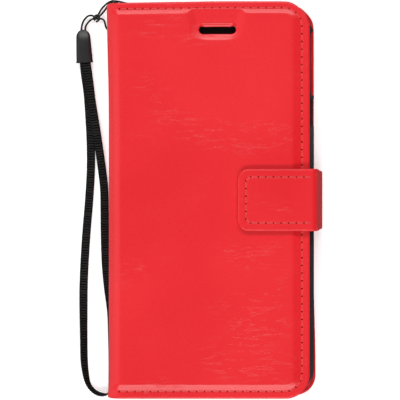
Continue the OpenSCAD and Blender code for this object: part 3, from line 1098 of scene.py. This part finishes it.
def softened(node, look, body):
    """A copy of a rigid CAD node with its hard edges rounded, which stands for it."""
    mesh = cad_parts[node].data.copy()
    obj = linked(node + "_moulding", mesh)
    bm = bmesh.new()
    bm.from_mesh(mesh)
    bmesh.ops.remove_doubles(bm, verts=bm.verts, dist=0.001 * MM)
    bmesh.ops.dissolve_limit(bm, angle_limit=radians(1), verts=bm.verts, edges=bm.edges)
    bm.to_mesh(mesh)
    bm.free()
    bevel = obj.modifiers.new("edges", "BEVEL")
    bevel.width = 0.3 * MM
    bevel.segments = 3
    bevel.limit_method = "ANGLE"
    bevel.angle_limit = radians(50)
    apply_modifiers(obj)
    put(finish(obj, look), body, node)
    return obj


def make_shell():
    shell = softened("phone_shell", "shell_plastic", "back_cover")
    high = node_box("phone_shell")[1]
    for vertex in shell.data.vertices:
        x, y, z = vertex.co / MM
        vertex.co = Vector((*rounded_off(x, y, high[0], high[1], 1.4), z)) * MM


def make_padding():
    softened("front_padding", "foam", "front_cover")


def dress_hidden_nodes():
    """Materials for the CAD nodes that stay: boards, glue, plate and magnet."""
    finishes = {
        "back_board": "stiffener", "front_board": "stiffener", "shell_adhesive": "adhesive",
        "keeper_plate": "keeper_steel", "strap_magnet": "magnet", "strap_root": "red_leather",
    }
    for node, look in finishes.items():
        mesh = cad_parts[node].data
        mesh.materials.clear()
        mesh.materials.append(materials[look])


# ---- Lanyard ----

cord_d = 0.8
web_w = 3.5
web_t = 0.9

# Middle line of the thin cord: out of the ferrule, through the hitch, round the top
# end, through the shell's corner, out through the spine and back to the ferrule
cord_route = [
    (-53.2, 67, 1.8), (-53.4, 70.6, 1.8), (-52.9, 72.4, 1.6), (-51.6, 74, 1.3), (-50.1, 75, 1),
    (-48.6, 75.6, 0.9), (-47.9, 76.9, 0.9), (-46.9, 78.7, 1.1), (-45.4, 80.3, 1.6),
    (-43.7, 81.5, 2.4), (-41.9, 82, 3.4), (-39.4, 81.6, 4.4), (-36.8, 80.9, 5.4),
    (-34.2, 80.3, 6.2), (-32, 79.6, 6.6), (-30.4, 78.5, 6.6), (-30, 77.2, 6.6),
    (-30.6, 76.1, 6.6), (-31.9, 75.6, 6.6), (-33.4, 74.8, 6.6), (-34.8, 73.4, 6.6),
    (-35.8, 71.9, 6.6), (-36.3, 70.2, 6.6), (-36.8, 68.9, 6.6), (-37.9, 68.2, 6.4),
    (-39.2, 68.2, 5.7), (-40.6, 68.6, 4.5), (-42.2, 69.2, 3.1), (-43.8, 70.1, 2),
    (-44.9, 71.4, 1.4), (-45.3, 73, 1.1), (-45.8, 74.3, 0.9), (-46.8, 74.9, 0.9),
    (-48, 74.8, 1.4), (-49.2, 74.9, 2), (-50.6, 76.2, 1.6), (-52.6, 75.8, 1.2),
    (-54.2, 73.9, 1.4), (-54.8, 72, 1.6), (-55, 70.4, 1.8), (-54.7, 67, 1.8),
]

# Middle line of the webbing and how far it is turned off flat, in degrees: down its lower
# branch, round the bottom on its edge, where it turns over, and back up
web_route = [
    (-54.2, 61, 1.3, 0), (-54, 57, 1.2, 0), (-53.6, 52, 0.7, 0), (-52.5, 44, 0.6, 0),
    (-51.7, 33, 0.6, 0), (-51.2, 22, 0.6, 0), (-51.2, 12, 0.6, 0), (-51.9, 0, 0.6, 0),
    (-52.9, -12, 0.6, 0), (-53.7, -24, 0.6, 0), (-54.2, -36, 0.6, 0), (-54.2, -48, 1.05, 22),
    (-54.1, -56, 1.3, 33), (-53.9, -66, 1.4, 37), (-53.2, -72, 1.65, 50), (-52.1, -76, 1.9, 64),
    (-50, -78.7, 2, 70), (-47.7, -80, 2, 74), (-45.4, -80.3, 2, 84), (-43.7, -79.8, 1.9, 105),
    (-42.7, -78.2, 1.6, 130), (-42.3, -75.4, 1.1, 155), (-42.2, -72, 0.7, 174),
    (-42.2, -66, 0.6, 180), (-42.4, -56, 0.6, 180), (-42.8, -46, 0.6, 180),
    (-44.1, -36, 0.6, 180), (-45, -26, 0.6, 180), (-45.4, -14, 0.6, 180), (-45.5, -4, 0.6, 180),
    (-45.7, 5, 0.7, 180), (-46.6, 13, 1.1, 180), (-47.7, 21, 1.6, 180), (-49.2, 31, 1.7, 180),
    (-50.7, 40, 1.7, 180), (-51.8, 49, 1.8, 180), (-52.9, 57, 2.3, 180), (-53.2, 61, 2.4, 180),
]


def smooth_route(points, step):
    """Points about step apart on one smooth curve through a route's points."""
    points = [Vector(p) for p in points]
    ends = [points[0] * 2 - points[1]] + points + [points[-1] * 2 - points[-2]]
    curve = []
    for a, b, c, d in zip(ends, ends[1:], ends[2:], ends[3:]):
        n = max(1, round((c - b).xyz.length / step))
        for i in range(n):
            t = i / n
            curve.append(0.5 * (2 * b + (c - a) * t + (2 * a - 5 * b + 4 * c - d) * t ** 2
                                + (3 * b - a - 3 * c + d) * t ** 3))
    return curve + [points[-1]]


def route_length(points):
    return sum((b - a).xyz.length for a, b in zip(points, points[1:]))


def make_cord():
    line = smooth_route(cord_route, 0.5)
    curve = bpy.data.curves.new("lanyard_thin_cord", "CURVE")
    curve.dimensions = "3D"
    curve.bevel_depth = cord_d / 2 * MM
    curve.bevel_resolution = 4
    curve.use_fill_caps = True
    spline = curve.splines.new("POLY")
    spline.points.add(len(line) - 1)
    for point, at in zip(spline.points, line):
        point.co = (*(at * MM), 1)
    cord = linked("lanyard_thin_cord", curve)
    curve.materials.append(materials["cord_nylon"])
    put(cord, "back_cover", "lanyard_cord")
    return cord, route_length(line) * MM


def make_webbing():
    """Flat ribbed webbing: each rib is a low ridge across it. The faces down in the furrows
    between ribs take a near-black copy of the nylon, painted shade.
    """
    route = smooth_route(web_route, 0.17)
    line = [at.xyz for at in route]
    rib_pitch = 1.08
    verts, ridge = [], []
    last = len(line) - 1
    run = 0.0
    side = [(1, 0), (0.97, 0.55), (0.86, 0.9), (0.6, 1), (0.3, 1), (0, 1)]
    top = side + [(-su, sv) for su, sv in side[-2::-1]]
    section = top + [(-su, -sv) for su, sv in top[1:-1]]
    for i, at in enumerate(line):
        if i:
            run += (at - line[i - 1]).length
        along = (line[min(i + 1, last)] - line[max(i - 1, 0)]).normalized()
        flat = along.cross(Vector((0, 0, 1))).normalized()
        up = flat.cross(along)
        a = radians(route[i].w)
        u, v = flat * cos(a) + up * sin(a), up * cos(a) - flat * sin(a)
        rib = abs(sin(pi * run / rib_pitch)) ** 0.6
        thick = web_t / 2 * (0.48 + 0.52 * rib)
        wide = web_w / 2 * (0.94 + 0.06 * rib)
        ridge.append(rib)
        for su, sv in section:
            verts.append(at + u * (wide * su) + v * (thick * sv))
    n = len(section)
    web = piece("lanyard_strap_webbing", verts, tube_faces(last + 1, n), "lanyard_fabric",
                "web_rib", sharp=70)
    # Second slot: a near-black copy of the nylon, painted shade, for faces where the ribs dip
    # low
    web.data.materials.append(materials["web_furrow_painted_shade"])
    for face in web.data.polygons:
        step = min(face.vertices) // n
        if step < last and ridge[step] + ridge[step + 1] < 1.5:
            face.material_index = 1
    put(web, "back_cover", "lanyard_webbing")
    return web, line, route_length(line) * MM


def make_ferrule():
    """Tapered moulded sleeve with a domed top end and a small flange at its mouth."""
    at, turn = Vector((-53.65, 56.7, 0)), Matrix.Rotation(radians(3.2), 3, "Z")
    tall, long, dome, sides = node_box("lanyard_ferrule")[1][2] / 2, 13.6, 2.9, 28
    outline = [(0.0, 3.5), (0.3, 3.52), (0.6, 3.48), (0.8, 3.36), (2.5, 3.3), (5.0, 3.2),
               (8.0, 3.05), (9.4, 2.98), (long - dome, dome)]
    for a in (12, 24, 36, 48, 60, 70, 80, 87):
        outline.append((long - dome + dome * sin(radians(a)), dome * cos(radians(a))))
    # Distance along, half width, half height and squareness, from inside the mouth out
    rings = [(3.5, 3.4 * 0.74, tall * 0.74, 0.4), (0.0, 3.4 * 0.8, tall * 0.8, 0.4)]
    for y, wide in outline:
        rings.append((y, wide, tall * (1 - 0.55 * smoothstep(long - 4.4, long, y)), 0.62))
    verts = []
    for y, wide, high, power in rings:
        for k in range(sides):
            c, s = cos(2 * pi * k / sides), sin(2 * pi * k / sides)
            x = wide * copysign(abs(c) ** power, c)
            z = tall + high * copysign(abs(s) ** power, s)
            verts.append(at + turn @ Vector((x, y, z)))
    ferrule = piece("lanyard_end_sleeve", verts, tube_faces(len(rings), sides),
                    "ferrule_plastic", sharp=45)
    put(ferrule, "back_cover", "lanyard_ferrule")
    return ferrule


def make_hitch():
    """The bight of the loop that grips its own two strands, with the second strand that
    runs from it over the case's top end."""
    bight = [(-49.4, 74.2, 0.7), (-49.9, 75.0, 0.8), (-49.4, 76.0, 1.3), (-48.5, 76.3, 2.1),
             (-47.8, 75.7, 2.6), (-47.6, 74.8, 2.4), (-48.1, 74.0, 1.8), (-48.9, 73.7, 1.1)]
    strand = [(-48.2, 75.3, 1.7), (-47.2, 76.2, 1.8), (-46.0, 77.5, 1.7), (-45.1, 78.7, 1.6),
              (-44.4, 79.8, 1.8), (-43.3, 80.9, 2.4), (-41.8, 81.2, 3.2), (-39.8, 81.0, 4.2)]
    verts, faces = [], []
    for points in (bight, strand):
        line = smooth_route(points, 0.4)
        radii = [cord_d / 2] * len(line)
        add_tube(verts, faces, line, radii, radii, Vector((0.1, 0.2, 1)), 10)
    hitch = piece("lanyard_hitch", verts, faces, "lanyard_fabric", "cord_nylon")
    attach(hitch, "back_cover")
    return hitch


def make_lanyard():
    cord, cord_length = make_cord()
    web, web_line, web_length = make_webbing()
    ferrule = make_ferrule()
    hitch = make_hitch()
    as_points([tuple(p * MM) for p in web_line[::4]] + [tuple(web_line[-1] * MM)])


# ---- Assembly ----

make_camera()
materials = {
    "red_leather": coated_leather(),
    "lining_leather": lining_leather(),
    "red_thread": sewing_thread(),
    # Painted shade: dark red for the shaded insides of the needle holes
    "painted_needle_hole_shade": painted_needle_hole_shade(),
    "shell_plastic": moulded_plastic("shell_plastic", (0.008, 0.008, 0.009),
                                     (0.016, 0.016, 0.018), 0.42),
    "ferrule_plastic": moulded_plastic("ferrule_plastic", (0.005, 0.005, 0.0055),
                                       (0.009, 0.009, 0.01), 0.4),
    "cord_nylon": black_nylon("cord_nylon", 2600, 0.016, 0.006),
    "web_rib": black_nylon("web_rib", 2200, 0.014, 0.008, 0.2),
    # Painted shade: a near-black copy of the rib nylon for the furrows between ribs
    "web_furrow_painted_shade": black_nylon("web_furrow_painted_shade", 2200, 0.0015, 0.001, 0.03),
    "stiffener": fibre_board(),
    "foam": foam_sheet(),
    "adhesive": adhesive_film(),
    "keeper_steel": plain_metal("keeper_steel", (0.58, 0.58, 0.6), 0.38, 12),
    "magnet": plain_metal("magnet", (0.76, 0.75, 0.73), 0.22, 1),
}
make_lanyard()
make_studio()
make_floor()
make_covers()
make_spine()
make_strap()
make_seams()
make_pockets()
make_shell()
make_padding()
dress_hidden_nodes()
